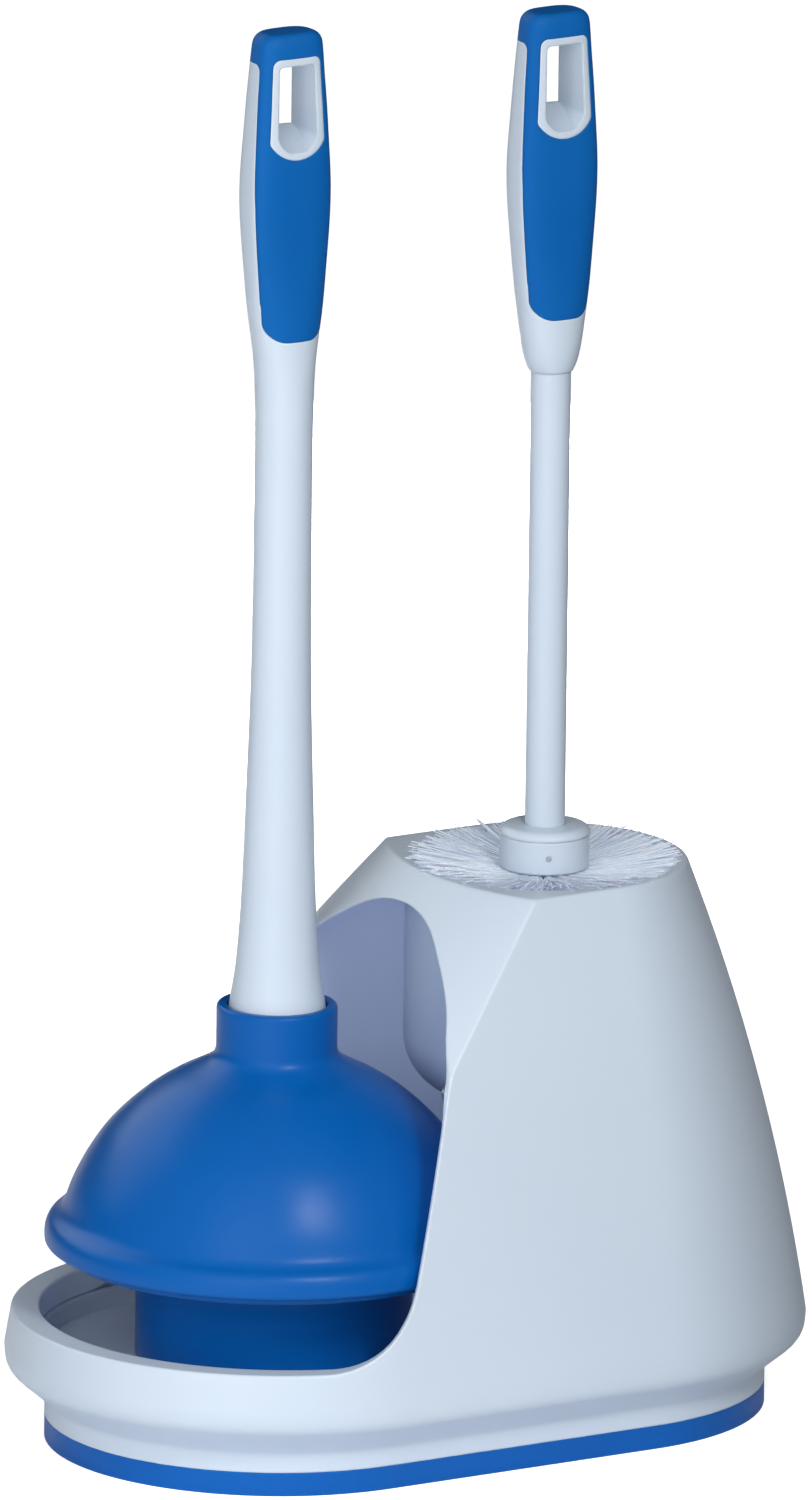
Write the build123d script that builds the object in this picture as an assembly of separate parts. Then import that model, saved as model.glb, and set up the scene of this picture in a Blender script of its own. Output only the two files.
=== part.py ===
from build123d import *
import math
import os

# Plunger and bowl-brush set in a shared caddy.
# Millimetres, +Z up. The origin is on the floor, under the centre of the caddy.
# +X points from the plunger to the brush, and -Y is the side with the soft grip pads.

# ---- driving dimensions ----
TOOL_SPACING = 102.7        # plunger axis to brush axis
HALF_SPACING = TOOL_SPACING / 2
PLUNGER_X = -HALF_SPACING
BRUSH_X = HALF_SPACING

FOOT_RADIUS = 75.4          # both round ends of the base, about the tool axes
BAND_TOP = 8.0              # top of the coloured base band
FOOT_TOP = 14.5             # top of the straight white foot
SHOULDER_RADIUS = 87.2      # undercut slope ends here
SHOULDER_HEIGHT = 24.5
HULL_MAX_RADIUS = 89.0
HULL_MAX_HEIGHT = 30.0
HULL_MID_RADIUS = 71.8
HULL_MID_HEIGHT = 111.0
DECK_RADIUS = 47.3
DECK_HEIGHT = 185.0
WALL = 2.8                  # caddy skin
DECK_THICKNESS = 3.0

RIM_HEIGHT = 44.0           # land around the open bay
RIM_UNDERSIDE = 34.8
BAY_HALF_SPACING = 48.5
BAY_RADIUS = 79.8
LEG_TOP = (-25.0, 131.0)    # raked front edges of the hood, in X and Z
LEG_FOOT_X = -54.0
LEG_FILLET = 36.0
LEG_SLOPE = 3.0             # rise per unit of X run, leg top to leg foot

NOSE_RADIUS = 93.0          # raked round front of the hood
NOSE_CENTRE_X = 72.2        # at NOSE_REF_HEIGHT
NOSE_REF_HEIGHT = 160.7
NOSE_RAKE = 1.107           # X run per unit of height

MOUTH_RADIUS = 44.0         # opening over the brush well
WELL_RADIUS = 46.0
WELL_NECK_RADIUS = 45.3
WELL_WALL = 2.2
WELL_BOTTOM = 105.0
WELL_CORNER = 20.0

PAN_RADIUS = 83.2           # drip pan under the plunger and the well
PAN_UNDERSIDE = 25.3
PAN_FLOOR = 28.0
PAN_WALL_TOP = 34.6
PAN_WALL_INNER = 78.4
PAN_WALL_OUTER = 80.6

FOOT_PAD_RADIUS = 9.0       # non-slip discs under the base
FOOT_PAD_DEPTH = 1.2

CUP_RADIUS = 76.0           # rubber cup, 6 inch class
CUP_BOTTOM = 66.0
COLLAR_RADIUS = 20.0
COLLAR_TOP = 148.0
COLLAR_FLOOR = 131.0
WEB_UNDERSIDE = 126.0
HANDLE_FOOT_RADIUS = 16.6
FLANGE_RADIUS = 45.7
FLANGE_WALL = 2.6
SPIGOT_RADIUS = 7.2
RUNNING_GAP = 0.05

PLUNGER_TOP = 477.0
BRUSH_TOP = 472.6
PAD_LENGTH = 103.0          # soft grip pad, measured down from the top
CAP_DEPTH = 9.8             # part of the pad that wraps right round the top
PAD_THICKNESS = 2.2
PAD_SPLIT_Y = -4.0          # the pad ends here on the sides of the grip
PAD_SPLIT_TOP_Y = -1.9      # and here just under the cap
PAD_CORNER = 7.5
CAP_CORNER = 2.5
HANDLE_BORE_TOP = 352.0
SPIGOT_LENGTH = 34.0        # inside the handle
SPIGOT_HEAD_RADIUS = 13.0
SPIGOT_HEAD_THICKNESS = 4.5

SHAFT_RADIUS = 6.65
SHAFT_BORE = 4.9
SHAFT_STUB_RADIUS = 5.2
SHAFT_TOP = 351.0
SHAFT_STUB_LENGTH = 20.0    # reduced end that plugs into the brush handle
SHAFT_FOOT = 168.0
FERRULE_RADIUS = 14.8
FERRULE_LID_RADIUS = 15.2
FERRULE_FOOT = 182.2
FERRULE_LID_FOOT = 193.5
FERRULE_TOP = 196.5
PIN_RADIUS = 0.9
PIN_HEIGHT = 188.0
PIN_TURN = -26.0
CORE_RADIUS = 8.0
CORE_FOOT = 112.0
BRUSH_RADIUS = 42.4
TUFT_ROWS = 7
TUFTS_PER_ROW = 11
TUFT_TOP_ROW = 179.6
TUFT_ROW_PITCH = 9.4
TUFT_ROOT_RADIUS = 1.9
TUFT_TIP_RADIUS = 4.3

FAR = 400.0                 # longer than any part of the caddy


# ---- shared shapes ----
def cylinder(x, y, radius, bottom, top):
    disc = Pos(x, y, bottom) * Circle(radius)
    return extrude(disc, amount=top - bottom)


def turned(profile_lines, x=0.0):
    """Revolve a closed outline, drawn in X and Z, about the tool axis at x."""
    face = make_face(profile_lines)
    return Pos(x, 0, 0) * revolve(face, Axis.Z, 360)


def closed_outline(points):
    """Straight-sided outline in the XZ plane."""
    return Polyline([(x, 0, z) for x, z in points], close=True)


def stadium_body(outline, half_spacing):
    """Solid with two round ends joined by straight sides, from half of its side outline."""
    face = make_face(outline)
    half_turn = Rot(0, 0, -90) * revolve(face, Axis.Z, 180)
    side = Rot(0, 0, 90) * face
    straight = extrude(Pos(-half_spacing, 0, 0) * side, amount=2 * half_spacing, dir=(1, 0, 0))
    straight = straight + mirror(straight, about=Plane.XZ)
    right = Pos(half_spacing, 0, 0) * half_turn
    left = Pos(-half_spacing, 0, 0) * (Rot(0, 0, 180) * half_turn)
    return straight + right + left


def stadium_plate(half_spacing, radius, bottom, top):
    outline = SlotCenterToCenter(2 * half_spacing, 2 * radius)
    return extrude(Pos(0, 0, bottom) * outline, amount=top - bottom)


def side_prism(points, fillet_at=None, fillet_radius=0.0):
    """Outline in XZ, extruded right through in Y."""
    face = make_face(closed_outline(points))
    if fillet_at is not None:
        corner = face.vertices().sort_by_distance((fillet_at[0], 0, fillet_at[1]))[0]
        face = fillet(corner, fillet_radius)
    return extrude(face, amount=FAR / 2, both=True)


# ---- caddy ----
def hull_outline(inset, bottom, top):
    """Half side outline of the caddy, from the centre line out to the skin."""
    skin_slope = 0.36           # how far the skin moves out per unit down from the deck
    foot = FOOT_RADIUS - inset
    shoulder = (SHOULDER_RADIUS - inset, SHOULDER_HEIGHT + inset * 0.45)
    widest = (HULL_MAX_RADIUS - inset, HULL_MAX_HEIGHT)
    middle = (HULL_MID_RADIUS - inset, HULL_MID_HEIGHT)
    deck = (DECK_RADIUS - inset + (DECK_HEIGHT - top) * skin_slope, top)
    step = FOOT_TOP + inset * skin_slope
    return [
        Line((0, 0, bottom), (foot, 0, bottom)),
        Line((foot, 0, bottom), (foot, 0, step)),
        Line((foot, 0, step), (shoulder[0], 0, shoulder[1])),
        Spline(
            (shoulder[0], 0, shoulder[1]),
            (widest[0], 0, widest[1]),
            tangents=[(0.78, 0, 0.62), (-0.15, 0, 0.99)],
        ),
        ThreePointArc((widest[0], 0, widest[1]), (middle[0], 0, middle[1]), (deck[0], 0, deck[1])),
        Line((deck[0], 0, deck[1]), (0, 0, top)),
        Line((0, 0, top), (0, 0, bottom)),
    ]


def nose_cylinder(radius, bottom, top):
    """Raked cylinder whose front is the round face of the hood."""
    centre = NOSE_CENTRE_X + NOSE_RAKE * (bottom - NOSE_REF_HEIGHT)
    disc = Pos(centre, 0, bottom) * Circle(radius)
    rise = top - bottom
    length = rise * math.hypot(1.0, NOSE_RAKE)
    return extrude(disc, amount=length, dir=(NOSE_RAKE, 0, 1))


def hood_region():
    """Everything of the hull that stays when the open bay is cut away."""
    leg_x, leg_z = LEG_TOP
    low = side_prism(
        [(-FAR / 2, -5), (FAR / 2, -5), (FAR / 2, leg_z), (leg_x, leg_z),
         (LEG_FOOT_X, RIM_HEIGHT), (-FAR / 2, RIM_HEIGHT)],
        fillet_at=(LEG_FOOT_X, RIM_HEIGHT),
        fillet_radius=LEG_FILLET,
    )
    rise = DECK_HEIGHT + 5 - leg_z
    behind_leg_line = side_prism(
        [(leg_x, leg_z), (FAR / 2, leg_z), (FAR / 2, leg_z + rise), (leg_x + rise / LEG_SLOPE, leg_z + rise)]
    )
    return low + (nose_cylinder(NOSE_RADIUS, leg_z, DECK_HEIGHT + 5) & behind_leg_line)


def hood_arch():
    """Arched opening through the front of the hood."""
    half = [(63.6, 131.0), (60.4, 137.5), (49.0, 152.0), (35.2, 163.4), (18.0, 173.0), (0.0, 176.2)]
    right = Spline([(0, y, z) for y, z in half], tangents=[(0, -0.3, 1), (0, -1, 0)])
    left = mirror(right, about=Plane.XZ)
    foot = Polyline((0, 63.6, 131), (0, 63.6, 118), (0, -63.6, 118), (0, -63.6, 131))
    face = make_face([right, left, foot])
    return extrude(Pos(-FAR / 2, 0, 0) * face, amount=FAR / 2 + 4, dir=(1, 0, 0))


def make_caddy_shell():
    outer = stadium_body(hull_outline(0.0, BAND_TOP, DECK_HEIGHT), HALF_SPACING)
    inner = stadium_body(hull_outline(WALL, 0.0, DECK_HEIGHT - DECK_THICKNESS), HALF_SPACING)
    outer = outer & hood_region()
    leg_z = LEG_TOP[1]
    hollow_low = inner & cylinder(0, 0, FAR, -1, leg_z)
    hollow_top = inner & nose_cylinder(NOSE_RADIUS - WALL, leg_z, DECK_HEIGHT - DECK_THICKNESS)
    ledge = stadium_plate(HALF_SPACING, HULL_MAX_RADIUS, RIM_UNDERSIDE, RIM_HEIGHT)
    ledge = ledge - stadium_plate(BAY_HALF_SPACING, BAY_RADIUS, RIM_UNDERSIDE - 1, RIM_HEIGHT + 1)
    skin = outer - hollow_low - hollow_top + (ledge & outer)
    return skin - hood_arch() - cylinder(BRUSH_X, 0, MOUTH_RADIUS, 150, DECK_HEIGHT + 1)


def make_drip_pan():
    floor = stadium_plate(HALF_SPACING, PAN_RADIUS, PAN_UNDERSIDE, PAN_FLOOR)
    wall = stadium_plate(BAY_HALF_SPACING, PAN_WALL_OUTER, PAN_FLOOR, PAN_WALL_TOP)
    wall = wall - stadium_plate(BAY_HALF_SPACING, PAN_WALL_INNER, PAN_FLOOR, PAN_WALL_TOP)
    return floor + wall


def make_brush_well():
    """Round-bottomed cup that hangs under the mouth of the deck."""
    top = DECK_HEIGHT - DECK_THICKNESS
    neck_foot = top - 8
    inner = WELL_RADIUS - WELL_WALL
    corner = WELL_CORNER
    dip = corner * (1 - math.sqrt(0.5))
    thin_corner = corner - WELL_WALL
    thin_dip = thin_corner * (1 - math.sqrt(0.5))
    floor = WELL_BOTTOM + WELL_WALL
    lines = [
        Line((0, 0, WELL_BOTTOM), (WELL_RADIUS - corner, 0, WELL_BOTTOM)),
        ThreePointArc(
            (WELL_RADIUS - corner, 0, WELL_BOTTOM),
            (WELL_RADIUS - dip, 0, WELL_BOTTOM + dip),
            (WELL_RADIUS, 0, WELL_BOTTOM + corner),
        ),
        Line((WELL_RADIUS, 0, WELL_BOTTOM + corner), (WELL_RADIUS, 0, neck_foot)),
        Line((WELL_RADIUS, 0, neck_foot), (WELL_NECK_RADIUS, 0, top)),
        Line((WELL_NECK_RADIUS, 0, top), (inner, 0, top)),
        Line((inner, 0, top), (inner, 0, floor + thin_corner)),
        ThreePointArc(
            (inner, 0, floor + thin_corner),
            (inner - thin_dip, 0, floor + thin_dip),
            (inner - thin_corner, 0, floor),
        ),
        Line((inner - thin_corner, 0, floor), (0, 0, floor)),
        Line((0, 0, floor), (0, 0, WELL_BOTTOM)),
    ]
    return turned(lines, BRUSH_X)


def make_base_plate():
    """Coloured base: closed bottom, outer band and a tongue inside the white foot."""
    bottom_plate = 2.5
    tongue_wall = 2.4
    tongue_top = 22.0
    clearance = 0.2
    tongue = FOOT_RADIUS - WALL - clearance
    band = stadium_plate(HALF_SPACING, FOOT_RADIUS, 0, BAND_TOP)
    upstand = stadium_plate(HALF_SPACING, tongue, 0, tongue_top)
    hollow = stadium_plate(HALF_SPACING, tongue - tongue_wall, bottom_plate, tongue_top + 1)
    return band + upstand - hollow - feet_recesses()


def foot_pad_places():
    """Three pairs: one under the middle and one under each round end."""
    end_x = HALF_SPACING + 40
    pairs = [(-end_x, 32.0), (0.0, 55.0), (end_x, 32.0)]
    return [(x, side * reach) for x, reach in pairs for side in (-1, 1)]


def feet_recesses():
    discs = [cylinder(x, y, FOOT_PAD_RADIUS, 0, FOOT_PAD_DEPTH) for x, y in foot_pad_places()]
    return Compound(discs)


def make_foot_pads():
    """Thin non-slip discs, flush in the recesses under the base."""
    radius = FOOT_PAD_RADIUS - RUNNING_GAP
    discs = [cylinder(x, y, radius, 0, FOOT_PAD_DEPTH - RUNNING_GAP) for x, y in foot_pad_places()]
    return Compound(children=discs)


# ---- plunger cup ----
def make_cup():
    """Thin bell with a thick rounded rim and a collar for the handle."""
    bead_top = 77.0
    outer = [
        (COLLAR_RADIUS + 3.5, 128.4), (33.4, 123.4), (46.0, 115.4), (57.0, 104.0),
        (65.0, 90.5), (70.6, bead_top),
    ]
    inner = [
        (67.2, bead_top - 1.5), (61.8, 89.0), (54.2, 101.6), (43.8, 112.6), (31.8, 120.2),
        (COLLAR_RADIUS, WEB_UNDERSIDE),
    ]
    hole = SPIGOT_RADIUS + 0.8
    socket = HANDLE_FOOT_RADIUS + RUNNING_GAP
    lines = [
        Line((socket, 0, COLLAR_TOP), (COLLAR_RADIUS - 1.5, 0, COLLAR_TOP)),
        ThreePointArc(
            (COLLAR_RADIUS - 1.5, 0, COLLAR_TOP),
            (COLLAR_RADIUS - 0.44, 0, COLLAR_TOP - 0.44),
            (COLLAR_RADIUS, 0, COLLAR_TOP - 1.5),
        ),
        Line((COLLAR_RADIUS, 0, COLLAR_TOP - 1.5), (COLLAR_RADIUS, 0, 132.5)),
        Spline(
            (COLLAR_RADIUS, 0, 132.5),
            (outer[0][0], 0, outer[0][1]),
            tangents=[(0, 0, -1), (0.9, 0, -0.43)],
        ),
        Spline([(r, 0, z) for r, z in outer], tangents=[(0.9, 0, -0.43), (0.3, 0, -0.95)]),
        Spline(
            (outer[-1][0], 0, bead_top),
            (74.6, 0, 74.4),
            (CUP_RADIUS, 0, 70.0),
            tangents=[(0.7, 0, -0.5), (0, 0, -1)],
        ),
        Line((CUP_RADIUS, 0, 70.0), (CUP_RADIUS, 0, CUP_BOTTOM + 1.5)),
        ThreePointArc(
            (CUP_RADIUS, 0, CUP_BOTTOM + 1.5),
            (CUP_RADIUS - 0.44, 0, CUP_BOTTOM + 0.44),
            (CUP_RADIUS - 1.5, 0, CUP_BOTTOM),
        ),
        Line((CUP_RADIUS - 1.5, 0, CUP_BOTTOM), (68.0, 0, CUP_BOTTOM)),
        Line((68.0, 0, CUP_BOTTOM), (inner[0][0], 0, inner[0][1])),
        Spline([(r, 0, z) for r, z in inner]),
        Line((COLLAR_RADIUS, 0, WEB_UNDERSIDE), (hole, 0, WEB_UNDERSIDE)),
        Line((hole, 0, WEB_UNDERSIDE), (hole, 0, COLLAR_FLOOR)),
        Line((hole, 0, COLLAR_FLOOR), (socket, 0, COLLAR_FLOOR)),
        Line((socket, 0, COLLAR_FLOOR), (socket, 0, COLLAR_TOP)),
    ]
    return turned(lines, PLUNGER_X)


def make_flange():
    """Narrow throat under the cup, standing on the drip pan."""
    foot = PAN_FLOOR + RUNNING_GAP
    top = CUP_BOTTOM - RUNNING_GAP
    inner = FLANGE_RADIUS - FLANGE_WALL
    lip = 71.0
    plate = top - 2.4
    bend = 8.0
    soft = bend * (1 - math.sqrt(0.5))
    lines = [
        Line((inner, 0, foot), (FLANGE_RADIUS, 0, foot)),
        Line((FLANGE_RADIUS, 0, foot), (FLANGE_RADIUS, 0, plate - bend)),
        ThreePointArc(
            (FLANGE_RADIUS, 0, plate - bend),
            (FLANGE_RADIUS + soft, 0, plate - soft),
            (FLANGE_RADIUS + bend, 0, plate),
        ),
        Line((FLANGE_RADIUS + bend, 0, plate), (lip, 0, plate)),
        Line((lip, 0, plate), (lip, 0, top)),
        Line((lip, 0, top), (inner, 0, top)),
        Line((inner, 0, top), (inner, 0, foot)),
    ]
    return turned(lines, PLUNGER_X)


# ---- handles ----
def grip_section(z, half_width, near, far, power):
    """Rounded-rectangle section: power 2 is an ellipse, larger is squarer."""
    count = 28
    points = []
    for step in range(count):
        angle = 2 * math.pi * step / count
        across = math.cos(angle)
        along = math.sin(angle)
        depth = far if along > 0 else near
        x = half_width * math.copysign(abs(across) ** (2 / power), across)
        y = depth * math.copysign(abs(along) ** (2 / power), along)
        points.append(Vector(x, y, z))
    return make_face(Spline(points, periodic=True))


def grip_stations(top):
    """Height, half width, near depth, far depth and squareness of the grip, bottom to top."""
    return [
        (top - 96, 12.4, 8.7, 9.9, 2.4),
        (top - 80, 13.7, 8.0, 10.3, 2.9),
        (top - 66, 14.6, 7.7, 10.8, 3.3),
        (top - 52, 14.9, 7.5, 11.0, 3.5),
        (top - 37, 14.1, 7.1, 10.4, 3.5),
        (top - 22, 13.1, 6.6, 9.7, 3.4),
        (top - 12, 12.3, 6.2, 9.2, 3.3),
    ] + rounded_crown(top, 5.0, 11.8, 6.1, 8.8, 3.1)


def rounded_crown(top, radius, half_width, near, far, power):
    """Closing stations of a grip: the sides turn in through a quarter circle."""
    crown = []
    for degrees in (0, 30, 55, 75, 88):
        angle = math.radians(degrees)
        inset = radius * (1 - math.cos(angle)) * 0.8
        height = top - radius + radius * math.sin(angle)
        crown.append((height, half_width - inset, near - inset * 0.7, far - inset * 0.7, power))
    return crown


def plunger_stations():
    """Trumpet foot, slim waist, then the grip."""
    round_part = [
        (COLLAR_FLOOR + 0.3, HANDLE_FOOT_RADIUS), (138, 16.55), (COLLAR_TOP - 3, 16.3), (151, 15.4),
        (158, 14.3), (168, 13.3), (184, 12.3), (210, 11.4), (244, 10.35), (278, 9.75), (316, 9.6),
        (350, 9.7),
    ]
    stations = [(z, radius, radius, radius, 2.0) for z, radius in round_part]
    stations.append((PLUNGER_TOP - 110, 10.5, 9.4, 9.8, 2.1))
    return stations + grip_stations(PLUNGER_TOP)


def brush_stations():
    """Short neck over the shaft, then the grip."""
    neck = [
        (SHAFT_TOP, 7.3, 7.3, 7.3, 2.0), (354.5, 8.9, 8.3, 8.5, 2.0), (360, 10.1, 8.9, 9.3, 2.1),
        (BRUSH_TOP - 105, 11.2, 9.0, 9.7, 2.2),
    ]
    return neck + grip_stations(BRUSH_TOP)


def grip_solid(stations, inset=0.0):
    sections = [
        grip_section(z, wide - inset, near - inset, far - inset, power)
        for z, wide, near, far, power in stations
    ]
    return loft(sections)


def window_prism(top, half_top, half_foot, head, foot, corner):
    """Hanging-hole outline: straight head, round foot, extruded through in Y."""
    shoulder = foot + 6.0
    lines = [
        Line((-half_foot, 0, shoulder), (-half_top, 0, head)),
        Line((-half_top, 0, head), (half_top, 0, head)),
        Line((half_top, 0, head), (half_foot, 0, shoulder)),
        ThreePointArc((half_foot, 0, shoulder), (0, 0, foot), (-half_foot, 0, shoulder)),
    ]
    face = make_face(lines)
    head_corners = face.vertices().sort_by(Axis.Z)[-2:]
    face = fillet(head_corners, corner)
    foot_corners = face.vertices().filter_by(lambda v: abs(v.Z - shoulder) < 0.01)
    face = fillet(foot_corners, corner)
    return extrude(face, amount=30, both=True)


def pad_region(top):
    """Space that the soft pad takes: the near face with rounded lower corners, and all of the top."""
    foot = top - PAD_LENGTH
    beyond = 18.0               # wider than the grip
    half = [(10.9, foot), (12.0, top - 91), (beyond, top - 60), (beyond, top + 5)]
    front = make_face(closed_outline(half + [(-x, z) for x, z in reversed(half)]))
    front = fillet(front.vertices().sort_by(Axis.Z)[:2], PAD_CORNER)
    cap_foot = top - CAP_DEPTH
    side_points = [
        (-30, foot - 1), (PAD_SPLIT_Y, foot - 1), (PAD_SPLIT_Y, top - 58),
        (PAD_SPLIT_TOP_Y, cap_foot), (30, cap_foot), (30, top + 5), (-30, top + 5),
    ]
    side = make_face(Polyline([(0, y, z) for y, z in side_points], close=True))
    inner_corner = side.vertices().sort_by_distance((0, PAD_SPLIT_TOP_Y, cap_foot))[0]
    side = fillet(inner_corner, CAP_CORNER)
    return extrude(front, amount=30, both=True) & extrude(side, amount=30, both=True)


def window_opening(top):
    """Hole right through the sleeve, with a floor that rises towards the back."""
    outline = window_prism(top, 6.7, 7.4, top - 10.5, top - 40.0, 1.5)
    floor = make_face(Polyline(
        (0, -20, top - 5), (0, 20, top - 5), (0, 20, top - 30.1), (0, -20, top - 44.4), close=True,
    ))
    slope = extrude(floor, amount=15, both=True)
    return outline & slope


def grip_set(stations, top):
    """White core, soft pad and window sleeve of one handle, all about their own axis."""
    body = grip_solid(stations)
    inset_stations = [row for row in grip_stations(top) if row[0] < top - 2 * PAD_THICKNESS]
    inset_stations.insert(0, (top - PAD_LENGTH - 4, 11.6, 9.0, 9.8, 2.3))
    core = grip_solid(inset_stations, PAD_THICKNESS)
    frame = window_prism(top, 8.8, 10.3, top - 8.0, top - 42.0, 2.6)
    pad = (body & pad_region(top)) - core - frame
    sleeve = (body & frame) - window_opening(top)
    shell = body - pad - frame
    return shell, pad, sleeve


def largest(shape):
    """The one real solid of a cut, without any sliver beside it."""
    return shape.solids().sort_by(SortBy.VOLUME)[-1]


def make_plunger_handle_set():
    shell, pad, sleeve = grip_set(plunger_stations(), PLUNGER_TOP)
    bore = cylinder(0, 0, SPIGOT_RADIUS, COLLAR_FLOOR, HANDLE_BORE_TOP)
    shell = largest(shell - bore)
    place = Pos(PLUNGER_X, 0, 0)
    return place * shell, place * largest(pad), place * largest(sleeve)


def make_spigot():
    """Plug in the foot of the hollow handle that holds the rubber web."""
    plug = cylinder(PLUNGER_X, 0, SPIGOT_RADIUS, COLLAR_FLOOR, COLLAR_FLOOR + SPIGOT_LENGTH)
    neck = cylinder(PLUNGER_X, 0, SPIGOT_RADIUS + 0.7, WEB_UNDERSIDE - 1, COLLAR_FLOOR)
    head_foot = WEB_UNDERSIDE - SPIGOT_HEAD_THICKNESS
    head = cylinder(PLUNGER_X, 0, SPIGOT_HEAD_RADIUS, head_foot, WEB_UNDERSIDE - RUNNING_GAP)
    return plug + neck + chamfer(head.edges().sort_by(Axis.Z)[0], 1.0)


def make_brush_handle_set():
    shell, pad, sleeve = grip_set(brush_stations(), BRUSH_TOP)
    socket = cylinder(0, 0, SHAFT_STUB_RADIUS, SHAFT_TOP - 1, SHAFT_TOP + SHAFT_STUB_LENGTH + 1)
    place = Pos(BRUSH_X, 0, 0)
    return place * largest(shell - socket), place * largest(pad), place * largest(sleeve)


# ---- brush ----
def ferrule_pin():
    # the cross hole is turned about the brush axis, away from the flat sides of the handle
    reach = FERRULE_RADIUS - 0.1
    end = Pos(0, -reach, 0) * (Rot(-90, 0, 0) * Circle(PIN_RADIUS))
    pin = extrude(end, amount=2 * reach, dir=(0, 1, 0))
    return Pos(BRUSH_X, 0, PIN_HEIGHT) * (Rot(0, 0, PIN_TURN) * pin)


def make_shaft():
    tube = cylinder(BRUSH_X, 0, SHAFT_RADIUS, SHAFT_FOOT, SHAFT_TOP)
    stub = cylinder(BRUSH_X, 0, SHAFT_STUB_RADIUS, SHAFT_TOP, SHAFT_TOP + SHAFT_STUB_LENGTH)
    bore = cylinder(BRUSH_X, 0, SHAFT_BORE, SHAFT_FOOT + 4, SHAFT_TOP - 4)
    open_foot = cylinder(BRUSH_X, 0, 2.0, SHAFT_FOOT - 1, SHAFT_FOOT + 5)
    return tube + stub - bore - open_foot - ferrule_pin()


def make_ferrule():
    body = cylinder(BRUSH_X, 0, FERRULE_RADIUS, FERRULE_FOOT, FERRULE_LID_FOOT)
    lid = cylinder(BRUSH_X, 0, FERRULE_LID_RADIUS, FERRULE_LID_FOOT, FERRULE_TOP)
    lid = fillet(lid.edges().sort_by(Axis.Z)[-1], 2.6)
    bore = cylinder(BRUSH_X, 0, SHAFT_RADIUS, FERRULE_FOOT - 1, FERRULE_TOP + 1)
    return body + lid - bore - ferrule_pin()


def make_core():
    body = cylinder(BRUSH_X, 0, CORE_RADIUS, CORE_FOOT, FERRULE_FOOT - RUNNING_GAP)
    body = fillet(body.edges().sort_by(Axis.Z)[0], 3.0)
    return body - cylinder(BRUSH_X, 0, SHAFT_RADIUS, SHAFT_FOOT, FERRULE_FOOT + 1)


def make_tufts():
    """Rows of bristle tufts that stand out of the core, each one a slim cone."""
    root = CORE_RADIUS + 0.05
    length = BRUSH_RADIUS - root
    tuft = Rot(0, 90, 0) * Cone(
        TUFT_ROOT_RADIUS, TUFT_TIP_RADIUS, length, align=(Align.CENTER, Align.CENTER, Align.MIN)
    )
    tufts = []
    for row in range(TUFT_ROWS):
        height = TUFT_TOP_ROW - row * TUFT_ROW_PITCH
        stagger = 0.5 * (row % 2)
        for place in range(TUFTS_PER_ROW):
            turn = 360.0 * (place + stagger) / TUFTS_PER_ROW
            spot = Pos(BRUSH_X, 0, height) * Rot(0, 0, turn) * Pos(root, 0, 0)
            tufts.append(spot * tuft)
    return Compound(children=tufts)


# ---- hand out every piece ----
def main():
    plunger_handle, plunger_pad, plunger_sleeve = make_plunger_handle_set()
    brush_handle, brush_pad, brush_sleeve = make_brush_handle_set()
    pieces = {
        "caddy_shell": make_caddy_shell(),
        "drip_pan": make_drip_pan(),
        "brush_well": make_brush_well(),
        "base_plate": make_base_plate(),
        "base_foot_pads": make_foot_pads(),
        "plunger_cup": make_cup(),
        "plunger_flange": make_flange(),
        "plunger_spigot": make_spigot(),
        "plunger_handle": plunger_handle,
        "plunger_grip_pad": plunger_pad,
        "plunger_hang_sleeve": plunger_sleeve,
        "brush_handle": brush_handle,
        "brush_grip_pad": brush_pad,
        "brush_hang_sleeve": brush_sleeve,
        "brush_shaft": make_shaft(),
        "brush_ferrule": make_ferrule(),
        "brush_ferrule_pin": ferrule_pin(),
        "brush_core": make_core(),
        "brush_tufts": make_tufts(),
    }
    os.makedirs("parts", exist_ok=True)
    for name, piece in pieces.items():
        export_step(piece, os.path.join("parts", name + ".step"))


main()
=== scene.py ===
import math
import random

import bmesh
import bpy
from mathutils import Matrix, Quaternion, Vector


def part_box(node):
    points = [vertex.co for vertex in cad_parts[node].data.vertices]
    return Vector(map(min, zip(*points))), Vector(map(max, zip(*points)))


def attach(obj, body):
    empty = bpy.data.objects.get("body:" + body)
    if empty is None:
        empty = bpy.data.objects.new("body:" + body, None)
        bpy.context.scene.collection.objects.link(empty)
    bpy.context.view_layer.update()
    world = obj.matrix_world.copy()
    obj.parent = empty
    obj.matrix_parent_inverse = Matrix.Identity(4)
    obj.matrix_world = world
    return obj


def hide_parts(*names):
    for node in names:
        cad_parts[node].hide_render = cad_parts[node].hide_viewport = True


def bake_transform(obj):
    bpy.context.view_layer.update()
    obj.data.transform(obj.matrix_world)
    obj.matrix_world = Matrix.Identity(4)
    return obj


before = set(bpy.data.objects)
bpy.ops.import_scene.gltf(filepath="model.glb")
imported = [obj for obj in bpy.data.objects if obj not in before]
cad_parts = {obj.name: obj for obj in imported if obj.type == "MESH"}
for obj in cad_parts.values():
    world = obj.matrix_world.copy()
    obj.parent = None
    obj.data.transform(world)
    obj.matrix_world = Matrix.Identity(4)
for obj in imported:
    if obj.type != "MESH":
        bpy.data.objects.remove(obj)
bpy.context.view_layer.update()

# Lengths in this script are millimetres until a mesh is made, in the frame's own axes.
MM = 0.001


def box_mm(node):
    """Low and high corner of a CAD node, in millimetres."""
    low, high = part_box(node)
    return low / MM, high / MM


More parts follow.
